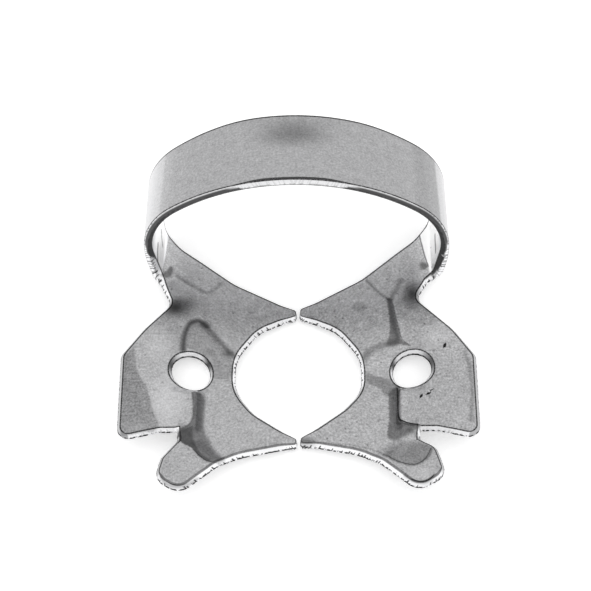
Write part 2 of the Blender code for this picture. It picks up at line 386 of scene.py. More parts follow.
def bentPlaces(flat):
    # flat places (p, y, depth below the face) to their places on the bent clamp
    p, y, depth = flat.T
    across = curled(p + tiny, y) - curled(p - tiny, y)
    along = curled(p, y + tiny) - curled(p, y - tiny)
    normal = np.cross(across, along)
    normal /= np.linalg.norm(normal, axis=1)[:, None]
    # the bow is drawn thinner than the jaws as it is bent
    thinner = bendSizes["thinning"] * rise(p - rootX, bendSizes["thinningRun"])
    depth = depth + thinner * (1 - depth / clampSizes["sheet"])
    places = curled(p, y) - normal * depth[:, None]
    places[:, 2] += pressing(p, y)
    places[p > bowMiddle - tiny, 0] = 0.0
    return places


def edgeRings():
    # (how far in from the nose, depth) of each ring, from the upper face round to the under face
    sizes = clampSizes
    depth = min(sizes["edgeDepth"], sizes["edgeShare"] * sizes["sheet"])
    upper = [((1 - lean) * sizes["edgeLean"], down * depth) for lean, down in edgeSection]
    return upper + [(inset, sizes["sheet"] - down) for inset, down in reversed(upper)]


def insidePolygon(places, polygon):
    x, y = places.T
    inside = np.zeros(len(places), bool)
    for (x0, y0), (x1, y1) in zip(polygon, np.roll(polygon, -1, 0)):
        if y0 != y1:
            inside ^= ((y0 > y) != (y1 > y)) & (x < (x1 - x0) * (y - y0) / (y1 - y0) + x0)
    return inside


def gridInside(outer, seam, hole, spacing):
    # rows of points, every other one shifted, that fill the face between its border lines
    rows = np.arange(outer[:, 1].min(), outer[:, 1].max(), spacing * math.sqrt(0.75))
    columns = np.arange(0.0, bowMiddle + spacing, spacing)
    grid = np.array([(x + (n % 2) * spacing / 2, y) for n, y in enumerate(rows) for x in columns])
    centre = hole.mean(0)
    keep = insidePolygon(grid, np.vstack([outer, seam[::-1]]))
    keep &= np.linalg.norm(grid - centre, axis=1) > np.linalg.norm(hole - centre, axis=1).max()
    keep &= grid[:, 0] < bowMiddle - spacing / 2
    grid = grid[keep]
    border = np.vstack([outer, hole])
    tree = KDTree(len(border))
    for index, place in enumerate(border):
        tree.insert((*place, 0.0), index)
    tree.balance()
    reach = np.array([tree.find((*place, 0.0))[2] for place in grid])
    source = np.array([tree.find((*place, 0.0))[1] for place in grid])
    kept = reach > meshSizes["clearShare"] * spacing
    return grid[kept], reach[kept], source[kept]


def halfClamp(side):
    # points, faces and (distance from the nose, length along the edge, how far it faces back)
    outer = roundedLine(flatOutline(side))[::-1]
    hole = holeRing(side)
    rings = edgeRings()
    points, faces, runs, firsts = [], [], [], []
    total = 0
    for line, closed in ((outer, False), (hole, True)):
        inward = inwardNormals(line, closed)
        if not closed:
            inward[[0, -1]] = ((0.0, -1.0), (0.0, 1.0))  # the bow's middle is cut square
        lengths = np.linalg.norm(np.diff(line, axis=0), axis=1)
        run = np.concatenate([[0.0], np.cumsum(lengths)])
        count = len(line)
        firsts.append(total)
        least, reach = clampSizes["prongLean"]
        lean = least + (1 - least) * smoothStep(line[:, :1] / reach)
        for inset, depth in rings:
            points.append(np.column_stack([line + inward * inset * lean, np.full(count, depth)]))
            runs.append(np.column_stack([np.full(count, inset), run, -inward[:, 1]]))
        for level in range(len(rings) - 1):
            for n in range(count if closed else count - 1):
                a = total + level * count + n
                b = total + level * count + (n + 1) % count
                faces.append((a, a + count, b + count, b))
        total += count * len(rings)
    outerFlat, holeFlat = points[0][:, :2], points[len(rings)][:, :2]
    outerCount, holeCount = len(outer), len(hole)
    borderOutward = np.concatenate([runs[0][:, 2], runs[len(rings)][:, 2]])
    centre = Vector(holeFlat.mean(0))
    holeReach = (Vector(holeFlat[0]) - centre).length * math.cos(math.pi / holeCount)
    for level, spacing in ((0, meshSizes["upperSpacing"]), (len(rings) - 1, meshSizes["underSpacing"])):
        seamCount = round((outerFlat[0, 1] - outerFlat[-1, 1]) / spacing)
        seamY = np.linspace(outerFlat[0, 1], outerFlat[-1, 1], seamCount + 1)[1:-1]
        seam = np.column_stack([np.full(len(seamY), bowMiddle), seamY])
        grid, reach, source = gridInside(outerFlat, seam, holeFlat, spacing)
        inside = np.vstack([seam, grid])
        border = list(range(outerCount)) + [outerCount + holeCount + n for n in reversed(range(len(seam)))]
        edges = list(zip(border, border[1:] + border[:1]))
        edges += [(outerCount + n, outerCount + (n + 1) % holeCount) for n in range(holeCount)]
        plan = [Vector(place) for place in np.vstack([outerFlat, holeFlat, inside])]
        netted = delaunay_2d_cdt(plan, edges, [], 1, meshSizes["netTolerance"])
        netPlaces, _, netFaces, sources, _, _ = netted
        names = np.concatenate([
            firsts[0] + level * outerCount + np.arange(outerCount),
            firsts[1] + level * holeCount + np.arange(holeCount),
            total + np.arange(len(inside)),
        ])
        for face in netFaces:
            middle = sum((netPlaces[n] for n in face), Vector((0, 0))) / len(face)
            if (middle - centre).length > holeReach:
                faces.append(tuple(int(names[sources[n][0]]) for n in face))
        points.append(np.column_stack([inside, np.full(len(inside), rings[level][1])]))
        insideRuns = np.zeros((len(inside), 3))
        seamReach = np.minimum(seamY[0] - seamY, seamY - seamY[-1]) + spacing
        insideRuns[:, 0] = np.concatenate([seamReach, reach]) + rings[0][0]
        insideRuns[len(seam):, 2] = borderOutward[source]
        runs.append(insideRuns)
        total += len(inside)
    return np.vstack(points), faces, np.vstack(runs)


# Creases that the press and the pliers have left on the upper faces, drawn as painted shade with a shallow
# groove under some, in millimetres of the flat sheet.
# A line has its points (x, y), half its width, the darkness of its painted shade and the depth of its groove.
leftLines = (
    (((10.1, 9.4), (8.7, 8.4), (7.5, 7.75), (6.4, 8.6)), 0.2, 0.42, 0.02),
    (((9.35, 2.3), (9.25, 3.65), (8.85, 4.7), (8.2, 5.0), (7.5, 4.5)), 0.3, 0.9, 0.03),
    (((7.7, 4.75), (6.7, 3.45), (5.8, 2.3), (5.3, 1.8)), 0.3, 0.7, 0.02),
    (
        ((10.75, -9.6), (10.4, -10.1), (9.85, -10.38), (9.25, -10.4), (8.6, -10.15), (7.9, -9.6)),
        0.14, 0.5, 0.02,
    ),
    (((8.5, -2.0), (8.4, -3.0), (8.4, -4.3), (8.7, -5.0), (9.4, -5.5)), 0.09, 0.7, 0.0),
    (((9.5, -6.0), (8.4, -6.75), (7.9, -7.45), (7.2, -7.95), (6.2, -8.05)), 0.08, 0.5, 0.02),
)
rightLines = (
    (((5.7, 8.9), (6.6, 7.8), (7.4, 7.0)), 0.16, 0.58, 0.02),
    (((8.6, 8.85), (8.0, 7.75), (7.65, 6.95)), 0.24, 0.5, 0.02),
    (((7.55, 6.8), (7.7, 5.4), (7.9, 4.2), (8.1, 3.1)), 0.22, 0.5, 0.03),
    (((7.9, 2.85), (6.7, 2.6), (5.8, 2.1), (5.45, 1.6)), 0.34, 0.56, 0.02),
    (((0.8, -5.8), (3.0, -6.15), (5.0, -6.5), (6.3, -7.05), (7.2, -7.7)), 0.07, 0.5, 0.0),
    (((8.1, -1.2), (7.9, -3.85), (8.1, -4.85), (9.6, -5.3)), 0.13, 0.92, 0.0),
    (((6.7, -7.4), (8.0, -8.3), (9.2, -8.55), (10.2, -7.8), (10.5, -7.0)), 0.11, 0.7, 0.02),
    (((8.3, -9.5), (8.9, -10.0), (9.6, -10.22), (10.15, -10.05), (10.6, -9.55)), 0.14, 0.5, 0.02),
    (((13.5, 1.8), (13.8, 0.3), (13.9, -2.2), (13.65, -4.7)), 0.18, 0.42, 0.0),
)
# A crack, speck or dark stroke is a thin line: its points (x, y), half its width and its darkness. The specks
# are real; the strokes on the legs' inner faces are painted dark reflections, and the lines along the folds
# and the step are painted shade in the creases.
leftCracksAndReflections = (
    (((13.0, 11.0), (12.95, 10.2), (12.75, 9.3)), 0.12, 1.0),
    (((12.35, 12.9), (12.1, 12.2), (11.8, 11.7)), 0.09, 0.9),
    (((8.35, -6.85), (7.85, -7.45), (7.2, -7.95), (6.5, -8.05)), 0.05, 0.6),
    (((9.55, -5.85), (9.1, -6.35), (8.5, -6.7)), 0.04, 0.5),
    (((10.35, -10.05), (9.8, -10.3), (9.25, -10.36), (8.7, -10.2)), 0.05, 0.95),
)
rightCracksAndReflections = (
    (((12.75, 11.9), (12.65, 11.2), (12.6, 10.3)), 0.16, 1.0),
    (((10.25, 13.5), (10.42, 12.5), (10.62, 11.3), (10.9, 10.1)), 0.06, 0.65),
    (((7.95, -1.25), (7.96, -2.6), (7.95, -3.9), (8.1, -4.6), (8.4, -4.85), (9.5, -5.25)), 0.06, 1.0),
    (((7.1, -7.65), (8.0, -8.25), (9.1, -8.5), (9.9, -8.05), (10.4, -7.1)), 0.05, 0.6),
    (((8.8, -9.9), (9.3, -10.12), (9.75, -10.15), (10.2, -9.96), (10.5, -9.65)), 0.05, 0.95),
    (((9.78, -2.52), (9.84, -2.42)), 0.11, 1.0),
    (((10.34, -2.26), (10.46, -2.2)), 0.1, 1.0),
    (((10.62, -1.93), (10.7, -1.88)), 0.05, 1.0),
    (((11.86, 2.28), (11.92, 2.46)), 0.12, 1.0),
    (((7.85, 6.4), (7.95, 5.6), (8.2, 4.3), (8.45, 3.2), (9.0, 2.6)), 0.06, 0.4),
)
# The dull part of the left wing, as an area's border
dullWing = (
    (13.3, 2.6, 0.12), (13.2, 1.2, 0.12), (12.9, -0.1, 0.12), (12.2, -1.4, 0.12), (11.6, -3.6, 0.1),
    (11.1, -5.2, 0.08), (12.3, -5.65, 0.1), (13.8, -5.9, 0.15), (14.1, -5.6, 0.1), (14.15, 1.2, 0.08),
    (13.75, 2.0, 0.1),
)
# An area has its darkness and its border points (x, y, width of the soft border there): painted shade in the
# valleys, the hump and beside the folds, and the darker dull part of the left wing.
leftAreas = (
    (0.66, (
        (8.5, -1.9, 0.1), (8.4, -3.0, 0.08), (8.4, -4.3, 0.08), (8.7, -5.0, 0.08), (9.3, -5.5, 0.08),
        (9.6, -5.7, 0.1), (9.2, -6.3, 0.1), (8.4, -6.75, 0.1), (7.9, -7.45, 0.1), (7.2, -7.95, 0.1),
        (6.3, -7.95, 0.12), (5.9, -7.65, 0.3), (6.5, -7.1, 0.35), (7.1, -5.9, 0.3), (7.5, -4.9, 0.25),
        (7.55, -3.4, 0.2), (7.5, -2.3, 0.2), (7.8, -1.65, 0.25),
    )),
    (0.66, (
        (9.7, -5.6, 0.1), (9.14, -6.3, 0.1), (8.5, -6.7, 0.1), (7.9, -7.45, 0.1), (7.2, -7.95, 0.1),
        (6.9, -7.9, 0.1), (7.65, -7.35, 0.1), (8.1, -6.6, 0.1), (8.35, -5.9, 0.12), (8.36, -5.2, 0.15),
        (8.7, -5.3, 0.1), (9.3, -5.45, 0.1),
    )),
    (0.44, dullWing),
    (0.34, (
        (9.1, 2.5, 0.1), (8.8, 4.1, 0.1), (8.2, 4.6, 0.08), (7.5, 4.1, 0.08), (6.1, 2.2, 0.08),
        (5.4, 1.4, 0.08), (5.4, 0.1, 0.06), (6.9, 0.0, 0.06), (7.2, 1.05, 0.1), (8.0, 2.1, 0.1),
    )),
    (0.72, (
        (11.55, 9.0, 0.12), (10.95, 9.85, 0.12), (10.65, 10.3, 0.12), (10.4, 10.15, 0.15), (10.5, 9.4, 0.2),
        (11.0, 8.95, 0.15),
    )),
)
rightAreas = (
    (0.68, (
        (7.3, 7.1, 0.1), (7.75, 7.0, 0.08), (7.9, 5.8, 0.08), (8.2, 4.3, 0.08), (8.45, 3.1, 0.08),
        (9.1, 2.55, 0.08), (8.3, 2.7, 0.12), (7.2, 2.7, 0.25), (7.45, 3.7, 0.12), (7.45, 5.3, 0.1),
    )),
    (0.46, (
        (5.4, 0.5, 0.12), (5.6, -0.5, 0.1), (6.5, -1.1, 0.12), (7.2, -1.9, 0.15), (8.0, -1.2, 0.08),
        (7.3, -0.35, 0.12), (6.2, 0.1, 0.12),
    )),
    (0.7, (
        (7.2, -1.6, 0.2), (8.0, -1.2, 0.06), (7.87, -3.85, 0.06), (8.05, -4.8, 0.06), (9.5, -5.25, 0.06),
        (9.1, -5.65, 0.15), (8.3, -5.9, 0.25), (7.4, -6.0, 0.25), (7.05, -5.5, 0.12), (7.25, -3.8, 0.1),
    )),
    (0.47, (
        (6.8, -6.9, 0.5), (8.0, -6.75, 0.5), (9.4, -6.4, 0.3), (10.4, -6.9, 0.12), (10.2, -7.7, 0.08),
        (9.2, -8.5, 0.08), (8.0, -8.2, 0.08), (7.0, -7.6, 0.15),
    )),
    (0.7, (
        (10.95, 10.0, 0.1), (10.55, 9.8, 0.12), (10.25, 9.95, 0.2), (10.15, 10.45, 0.2),
        (10.45, 10.6, 0.15), (10.8, 10.35, 0.1),
    )),
    (0.26, (
        (5.6, 6.5, 0.06), (5.2, 6.9, 0.06), (4.6, 6.75, 0.06), (4.45, 6.2, 0.06), (5.0, 5.8, 0.06),
        (5.5, 6.0, 0.06),
    )),
)
# A patch of painted shade, as in the notches, under the bow and at the right front prong's tip, has its
# middle (x, y), its reach across and along, its turn in degrees and its darkness.
leftPatches = (
    ((10.1, 6.3), (1.1, 0.9), 0, 0.95),
    ((9.2, 6.6), (1.4, 0.95), 0, 0.46),
    ((5.7, 2.0), (0.5, 0.36), 0, 0.6),
    ((7.2, 2.2), (0.5, 0.3), 20, 0.3),
    ((10.2, -9.0), (1.3, 1.0), 0, 0.1),
    ((2.6, -6.2), (1.6, 0.7), 0, 0.08),
)
rightPatches = (
    ((9.45, 7.5), (0.8, 1.25), 0, 0.93),
    ((8.9, 6.9), (1.2, 1.0), 0, 0.3),
    ((0.5, -5.85), (0.85, 0.4), -12, 0.65),
)
# The deeper pits lie on the right half only.
pits = {
    -1: (),
    1: (
        (5.79, 8.12), (3.38, 7.11), (8.26, 7.51), (3.1, 4.58),
        (6.91, 3.11), (11.92, 2.32), (9.8, -2.27), (10.51, -2.56),
    ),
}
# A spot of painted highlight has its middle (x, y), its reach across and along, its paleness and where in x
# it starts.
leftPaintedHighlights = (
    ((10.5, -2.6), (1.5, 2.6), 0.24, 8.4),
    ((11.2, 2.5), (1.2, 1.4), 0.16, 0.0),
    ((12.8, -5.2), (1.3, 0.8), 0.24, 0.0),
    ((7.3, 1.55), (0.35, 0.35), 0.26, 0.0),
)
rightPaintedHighlights = (
    ((9.8, -9.3), (1.0, 0.8), 0.17, 0.0),
    ((11.0, 3.6), (1.5, 1.2), 0.18, 0.0),
    ((5.3, 5.5), (2.2, 2.4), 0.06, 0.0),
    ((13.0, -4.5), (1.0, 1.2), 0.05, 0.0),
)

# How strongly the faces are marked: painted shade, painted highlights and reflections, pits and grain. A pair
# without a note says where a change starts and is full.
paintedLightAndWearLook = {
    "spotEdge": 1.6,
    "lineMargin": 2.0,
    "thinLineMargin": 1.0,
    "thinLineFar": 10.0,
    "thinLineFade": (0.26, 0.16),
    "thinLineDepth": 0.1,
    "upperDepth": (0.45, 0.25),
    "outerDepth": (0.4, 0.6),
    "pitReach": (0.1, 0.1),  # across and along
    "pitDepth": 0.03,
    "pitDark": 0.6,
    # painted shade over the right wing
    "rightWingDark": 0.08,
    "rightWingAcross": (8.4, 9.0),
    "rightWingAlong": (2.0, 0.0),
    # painted light on the back of the jaws, which lie in the bow's shade
    "behindPale": 0.15,  # the back of the jaws, below the bow
    "behindAlong": (4.5, 7.5),
    "behindReach": 11,
    "uneven": 1.15,
    "unevenBehind": 0.3,
    "unevenAlong": (3.0, 6.0),
    "unevenReach": 12,
    "unevenRight": 0.2,
    "unevenDullWing": 0.7,
    "unevenUnder": 0.9,
    # painted shade over the bow's outer face, darker in spots on its crown
    "bowDark": 0.085,
    "crownSpots": ((14.1, (2.6, 1.2), 0.48), (15.6, (3.6, 1.2), 0.16)),  # place along, reach, darkness
    # where the painted reflection on each flank of the bow ends, and how pale it is
    "leftFlank": 18.35,
    "rightFlank": 17.1,
    "flankEdge": 0.2,
    "flankPale": 0.2,
    "flankPaleMore": 0.27,
    "flankRun": 2.2,
    "flankFade": (13.5, 15.0),
    # painted shade on the bow's right shoulder
    "shoulderDark": 0.34,
    "shoulderAlong": (20.4, 18.6),
    # painted reflection on the inner faces of the legs, beyond each leg's crease
    "creaseAlong": (9.5, 11.2, 12.7, 14.0),  # places in y, then where in x each leg's crease lies there
    "leftCrease": (11.45, 11.2, 11.05, 11.0),
    "rightCrease": (11.0, 10.65, 10.4, 10.2),
    "creaseEdge": 0.15,
    "legPale": (15.0, 13.5),
    "legPaleFront": 9.2,
}


def smoothLine(points, parts=12):
    # Catmull-Rom curve through the points
    p = np.array([points[0], *points, points[-1]], float)
    t = np.linspace(0, 1, parts, endpoint=False)[:, None]
    curve = [
        0.5 * (2 * b + (c - a) * t + (2 * a - 5 * b + 4 * c - d) * t**2 + (3 * b - a - 3 * c + d) * t**3)
        for a, b, c, d in zip(p, p[1:], p[2:], p[3:])
    ]
    return np.vstack(curve + [p[-1:]])


def softSpot(distance):
    return 1 - smoothStep(distance / paintedLightAndWearLook["spotEdge"])


def patchField(here, middle, reach, turn=0):
    # one at the middle of a turned oval, falling softly to nought around it
    cosine, sine = math.cos(math.radians(turn)), math.sin(math.radians(turn))
    across, along = (here - middle).T
    across, along = cosine * across + sine * along, cosine * along - sine * across
    return softSpot(np.hypot(across / reach[0], along / reach[1]))


def thinLineFields(here, cracks):
    # signed distance to the nearest thin line (a real speck, or a painted dark reflection or crease shade)
    # over half its width, and how dark it is
    thinLine, dark = np.full(len(here), paintedLightAndWearLook["thinLineFar"]), np.zeros(len(here))
    for points, halfWidth, darkness in cracks:
        curve = smoothLine(points)
        near = np.abs(here - curve.mean(0)).max(1) < np.ptp(curve, 0).max() + paintedLightAndWearLook["thinLineMargin"]
        ways = np.gradient(curve, axis=0)
        away = here[near][:, None] - curve[None]
        gaps = np.linalg.norm(away, axis=2)
        nearest = gaps.argmin(1)
        way, away = ways[nearest], away[np.arange(len(nearest)), nearest]
        signed = np.copysign(gaps.min(1), way[:, 0] * away[:, 1] - way[:, 1] * away[:, 0])
        closer = np.abs(signed / halfWidth) < np.abs(thinLine[near])
        thinLine[near] = np.where(closer, signed / halfWidth, thinLine[near])
        dark[near] = np.where(closer, darkness * rise(np.abs(signed), paintedLightAndWearLook["thinLineFade"]), dark[near])
    return thinLine, dark


def areaField(here, border):
    # one inside the border and nought outside, over the soft width of the nearest border point
    line = smoothLine(border + border[:1], 8)[:-1]
    near = np.abs(here - line[:, :2].mean(0)).max(1) < np.ptp(line[:, :2], 0).max()
    gaps = np.array([np.linalg.norm(here[near] - place, axis=1) for place in line[:, :2]])
    nearest = gaps.argmin(0)
    signed = np.where(insidePolygon(here[near], line[:, :2]), 1, -1) * gaps.min(0)
    field = np.zeros(len(here))
    field[near] = smoothStep(signed / (2 * line[nearest, 2]) + 0.5)
    return field


def faceShadeAndDents(side, here):
    # share of the light that the painted shade and the pits leave, and how deep the grooves and pits are
    kept, dent = np.ones(len(here)), np.zeros(len(here))
    for points, halfWidth, dark, groove in leftLines if side < 0 else rightLines:
        curve = smoothLine(points)
        near = np.abs(here - curve.mean(0)).max(1) < np.ptp(curve, 0).max() + paintedLightAndWearLook["lineMargin"]
        gap = np.min([np.linalg.norm(here[near] - place, axis=1) for place in curve], 0)
        spot = softSpot(gap / halfWidth)
        kept[near] *= 1 - dark * spot
        dent[near] = np.maximum(dent[near], groove * spot)
    for dark, border in leftAreas if side < 0 else rightAreas:
        kept *= 1 - dark * areaField(here, border)
    for middle, reach, turn, dark in leftPatches if side < 0 else rightPatches:
        kept *= 1 - dark * patchField(here, middle, reach, turn)
    for middle in pits[side]:
        spot = patchField(here, middle, paintedLightAndWearLook["pitReach"])
        kept *= 1 - paintedLightAndWearLook["pitDark"] * spot
        dent = np.maximum(dent, paintedLightAndWearLook["pitDepth"] * spot)
    return kept, dent


def paintedLightAndWearFields(side, flat):
    # painted shade, painted highlights, depth of the grooves and pits and unevenness of the grain at each
    # flat place
    look = paintedLightAndWearLook
    x, y, depth = np.abs(flat[:, 0]), flat[:, 1], flat[:, 2]
    here = np.column_stack([x, y])
    upper, outer = rise(depth, look["upperDepth"]), rise(depth, look["outerDepth"])
    kept, dent = faceShadeAndDents(side, here)
    pale = np.zeros(len(x))
    # painted highlights, where the steel is painted paler
    for middle, reach, paleness, start in leftPaintedHighlights if side < 0 else rightPaintedHighlights:
        pale += paleness * patchField(here, middle, reach) * (x > start)
    if side > 0:
        # painted shade over the right wing
        kept *= 1 - look["rightWingDark"] * rise(x, look["rightWingAcross"]) * rise(y, look["rightWingAlong"])
    # painted light on the back of the jaws, in the bow's shade
    pale += look["behindPale"] * rise(y, look["behindAlong"]) * (x < look["behindReach"])
    shade = (1 - kept) * upper
    pale *= upper
    uneven = look["uneven"] + look["unevenBehind"] * rise(y, look["unevenAlong"]) * (x < look["unevenReach"])
    if side < 0:
        uneven += look["unevenDullWing"] * areaField(here, dullWing)
    else:
        uneven += look["unevenRight"]
    uneven = look["unevenUnder"] + (uneven - look["unevenUnder"]) * upper
    # painted shade on the bow's crown and right shoulder, painted reflection on its flanks and on the inner
    # faces of the legs
    crown = look["bowDark"]
    for along, reach, dark in look["crownSpots"]:
        crown = crown + dark * patchField(here, (bowMiddle, along), reach)
    shade = np.maximum(shade, crown * outer)
    flank = look["leftFlank"] if side < 0 else look["rightFlank"]
    if side > 0:
        shoulder = look["shoulderDark"] * rise(x, look["shoulderAlong"]) * past(x, flank, look["flankEdge"])
        shade = np.maximum(shade, shoulder * outer)
    flankSheen = look["flankPale"] + look["flankPaleMore"] * smoothStep((flank - x) / look["flankRun"])
    flankSheen *= past(flank, x, look["flankEdge"]) * rise(x, look["flankFade"])
    crease = np.interp(y, look["creaseAlong"], look["leftCrease"] if side < 0 else look["rightCrease"])
    leg = past(x, crease, look["creaseEdge"]) * rise(x, look["legPale"]) * (y > look["legPaleFront"])
    pale = np.maximum(pale, np.maximum(flankSheen * outer, leg * upper))
    return shade, pale, dent * upper, uneven


# Looks of the edges, with places in millimetres of the flat sheet. A pair without a note says where a
# change starts and is full.
edgeLook = {
    "wingSide": (0.9, 4.0),  # how far in from the wing's reach its side counts, and how far back
    "facing": (0.45, 0.05),  # how far back an edge faces
    "lobeFacing": (-0.05, -0.55),
    "lobeSide": (9.6, -6.6),  # beyond this x and in front of this y
    # edges facing front are painted paler than edges facing back: a painted highlight
    "backTone": 0.5,
    "frontTone": 0.45,
    "strokeDepth": (0.1, 0.16),
    "legStart": 12.6,
    "legFront": 7.2,
    "legBack": 9.6,
    "legStroke": 0.8,
    "bowStrokeLost": 0.8,
    "bowStrokeAlong": (17.0, 19.0),
    "wingFrontReach": 14.0,
    "wingFront": (-5.0, -6.6),  # between these two places in y
    "wingFrontStroke": 0.25,
    "bevelAlong": (13.2, 14.2, 15.4, 24.0, 25.2, 25.9),  # places in x, then the bevel's depth at each
    "bevelDepth": (0.0, 0.6, 0.74, 0.72, 0.66, 0.4),
    "rightBevelAlong": (10.4, 11.2, 12.6, 13.6),
    "rightBevelDepth": (0.0, 0.22, 0.4, 0.6),
    "bevelStart": 10.4,
    "bevelBack": 0.6,  # how far behind the bow's front edge it counts
    "bevelEdge": 0.06,
    "bevelTone": 0.1,
    "holeReach": 0.6,
    "wallTone": 0.92,
    "wallOuter": (18, 34, 0.74),  # direction and half width in degrees, darkness
    "wallInner": (152, 18, 0.8),
    "wallInnerDepth": 0.5,
    "line": 0.33,
    "lineBehind": 0.02,
    "lineFacing": 0.3,
    "lineBow": 0.04,
    "lineBowFront": 14.0,
    "crownLine": 0.19,
    "crownAlong": (24.8, 27.4),
    "crownFront": 10.0,
    "legLine": 0.09,
    "legLineMiddle": 12.7,
    "legLineReach": 1.2,
    "rolledAlong": (-5.6, -6.1),
    "rolledReach": 12.0,
    "rolledLine": 0.12,
    "rolledBorder": 0.4,
    "lobeLine": 0.04,
    "lobeLineStart": 9.5,
    "noseBehind": 0.5,
    "noseFacing": (0.4, 0.7),
    "noseLegStart": 10.8,
    "noseLegFront": 6.0,
    "noseLeg": 0.4,
    "noseHole": 1.8,
}


def edgeFields(flat, outward):
    # painted tone and real shearing marks of the edges, reach and darkness of the painted dark line beside
    # them, line of the nose
    look, sizes = edgeLook, clampSizes
    x, y, depth = np.abs(flat[:, 0]), flat[:, 1], flat[:, 2]
    beside = (x > sizes["wingReach"] - look["wingSide"][0]) & (y < look["wingSide"][1])
    facing = np.where(beside, 0.0, rise(outward, look["facing"]))
    onLobe = (x > look["lobeSide"][0]) & (y < look["lobeSide"][1])
    facing = np.where(onLobe, rise(outward, look["lobeFacing"]), facing)
    crown = rise(x, look["crownAlong"])
    # painted highlight: the more an edge faces front, the paler it is
    tone = look["backTone"] + look["frontTone"] * facing
    stroke = facing * rise(depth, look["strokeDepth"])
    stroke = np.where((x > look["legStart"]) & (y < look["legBack"]), look["legStroke"] * facing, stroke)
    stroke = stroke * (1 - look["bowStrokeLost"] * rise(x, look["bowStrokeAlong"]))
    onFront = (x > sizes["slit"][0]) & (x < look["wingFrontReach"])
    onFront &= (y < look["wingFront"][0]) & (y > look["wingFront"][1])
    stroke = np.where(onFront, look["wingFrontStroke"] * stroke, stroke)
    # the inner bevel of the bow's front edge is smooth and dark
    limit = np.interp(x, look["bevelAlong"], look["bevelDepth"])
    if flat[0, 0] > 0:
        rightLimit = np.interp(x, look["rightBevelAlong"], look["rightBevelDepth"])
        limit = np.maximum(limit, rightLimit * (x < look["rightBevelAlong"][-1]))
    bevel = past(limit, depth, look["bevelEdge"]) * (y > look["legFront"])
    bevel = bevel * (y < sizes["bowFront"] + look["bevelBack"]) * (x > look["bevelStart"])
    tone = tone * (1 - bevel) + look["bevelTone"] * bevel
    stroke = stroke * (1 - bevel)
    # painted shade on the walls of the forceps holes, dark at their outer and inner sides
    across, along = x - sizes["holeX"], y - sizes["holeY"]
    inHole = np.hypot(across, along) < sizes["holeRadius"] + look["holeReach"]
    angle = np.degrees(np.arctan2(along, across))
    middle, half, dark = look["wallOuter"]
    wall = look["wallTone"] - dark * softSpot(np.abs(angle - middle) / half)
    middle, half, dark = look["wallInner"]
    wall -= dark * softSpot(np.abs(angle - middle) / half) * (depth < look["wallInnerDepth"])
    # The dark line beside each edge is painted shade and dark reflection where the edge turns; it is wider
    # where the edge faces back, and along the crown's front edge it is a painted shadow.
    line = look["line"] + look["lineBehind"] * smoothStep(outward / look["lineFacing"])
    line = line + look["lineBow"] * (y > look["lineBowFront"])
    line = np.where(y < look["crownFront"], line + look["crownLine"] * crown * (depth > halfSheet), line)
    # the painted dark line beside the rim of each leg is wider
    pinch = softSpot(np.abs(x - look["legLineMiddle"]) / look["legLineReach"]) * (depth < halfSheet)
    line = line + look["legLine"] * pinch * (y > look["legFront"]) * (y < look["legBack"])
    # towards the lobes the edge is drawn as rolled over softly: a wider, fainter painted shade beside it
    # instead
    rolled = facing * rise(y, look["rolledAlong"]) * (1 - beside) * (x < look["rolledReach"])
    atLobe = (x > look["lobeLineStart"]) * (y < look["rolledAlong"][0])
    line = line + look["rolledLine"] * rolled - look["lobeLine"] * atLobe * (1 - facing)
    # the line along the nose is broken, faint at the legs and behind, and unbroken in the holes
    nose = 1 - look["noseBehind"] * rise(outward, look["noseFacing"])
    onLeg = (x > look["noseLegStart"]) & (y > look["noseLegFront"]) & (y < look["legBack"])
    nose = np.where(onLeg, look["noseLeg"], nose)
    nose = np.where(inHole, look["noseHole"], nose)
    border = 1 - look["rolledBorder"] * rolled
    return np.where(inHole, wall, tone), np.where(inHole, 0.0, stroke), line, border, nose


# Where the strewn pits may lie: a pair says where they start and are full. Then the material's maps.
pittedLook = {
    "plain": 0.25,
    "right": 0.75,
    "behind": 0.3,
    "behindFront": 4.0,
    "legStart": 13.0,
    "depth": (0.3, 0.1),
    "rim": (0.35, 0.55),
}
mapSizes = {
    "leftRunShift": 200.0,
    "underShift": 80.0,
    "centimetres": 0.1,
}


def pointAttribute(mesh, name, values):
    attribute = mesh.attributes.new(name, "FLOAT", "POINT")
    attribute.data.foreach_set("value", values.astype(np.float32))


